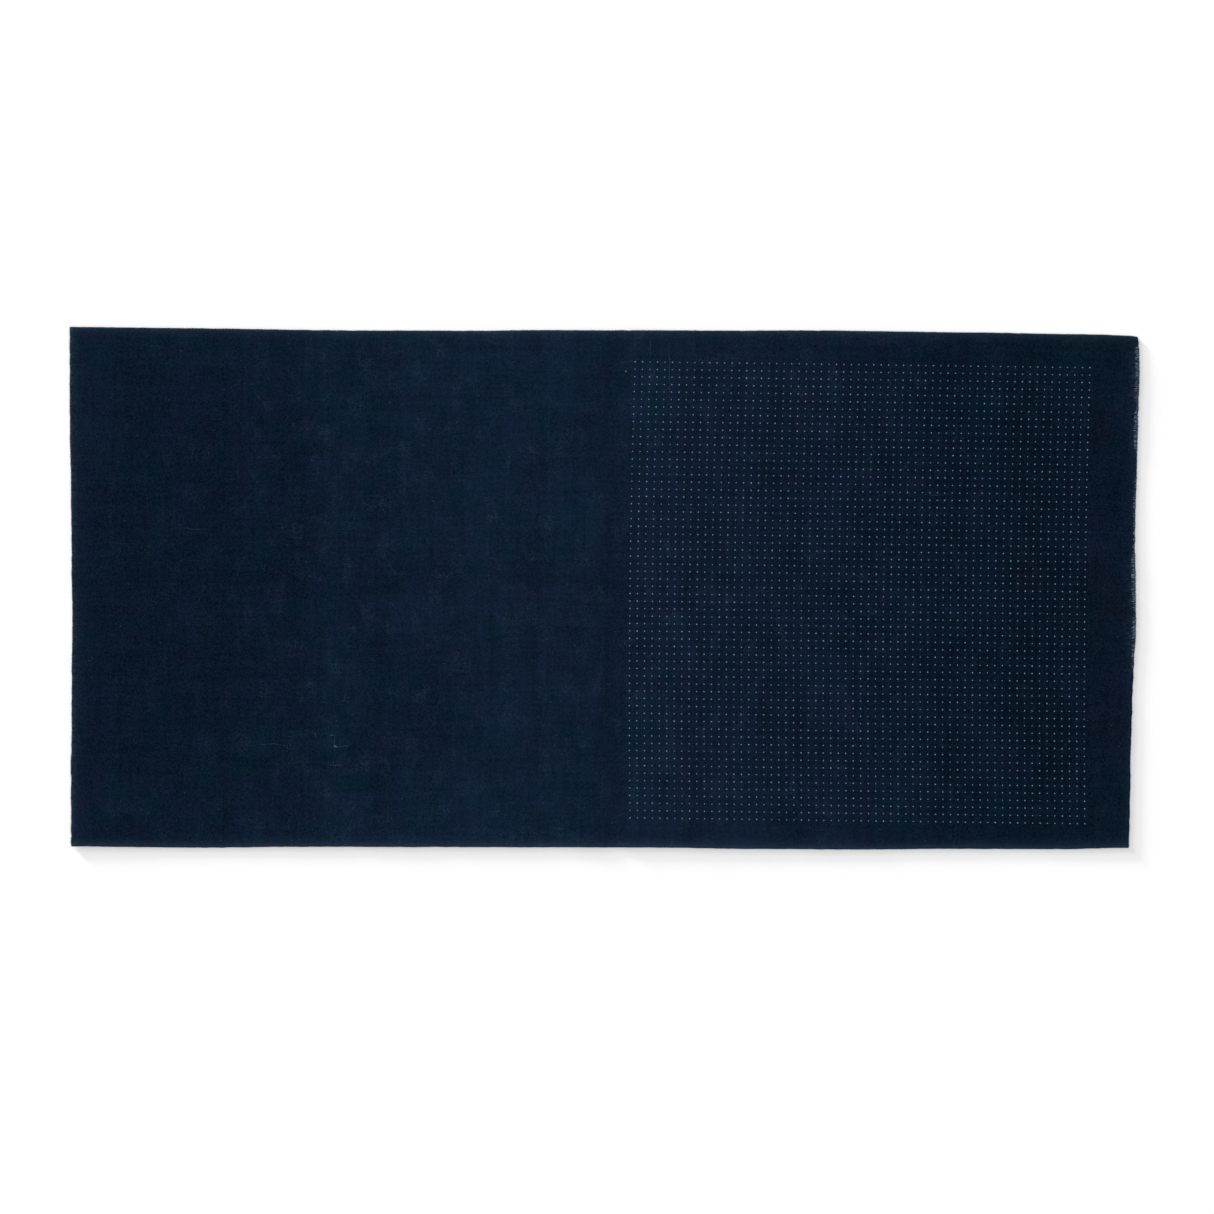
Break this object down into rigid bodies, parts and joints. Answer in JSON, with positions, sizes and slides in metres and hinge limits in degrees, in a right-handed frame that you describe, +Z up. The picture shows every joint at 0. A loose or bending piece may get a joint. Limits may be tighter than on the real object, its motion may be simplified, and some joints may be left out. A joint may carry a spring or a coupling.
{
  "type": "sashiko cloth",
  "caption": "Flat rectangular length of plain-woven indigo cotton with selvedges along both long edges, raw cut ends, and a square grid of small pale stitch-guide dots printed over one half.",
  "frame": {"origin": "on the surface that the cloth lies on, under the middle of its outline", "axes": "+X along the length, from the plain half towards the half with the printed dots; +Y across the width towards the upper selvedge; +Z up, out of the printed face"},
  "size_m": [0.7163, 0.35, 0.0016],
  "materials": {
    "cotton": "matt plain-woven indigo cotton"
  },
  "bodies": {
    "root": {"cloth": "cotton"}
  },
  "joints": []
}
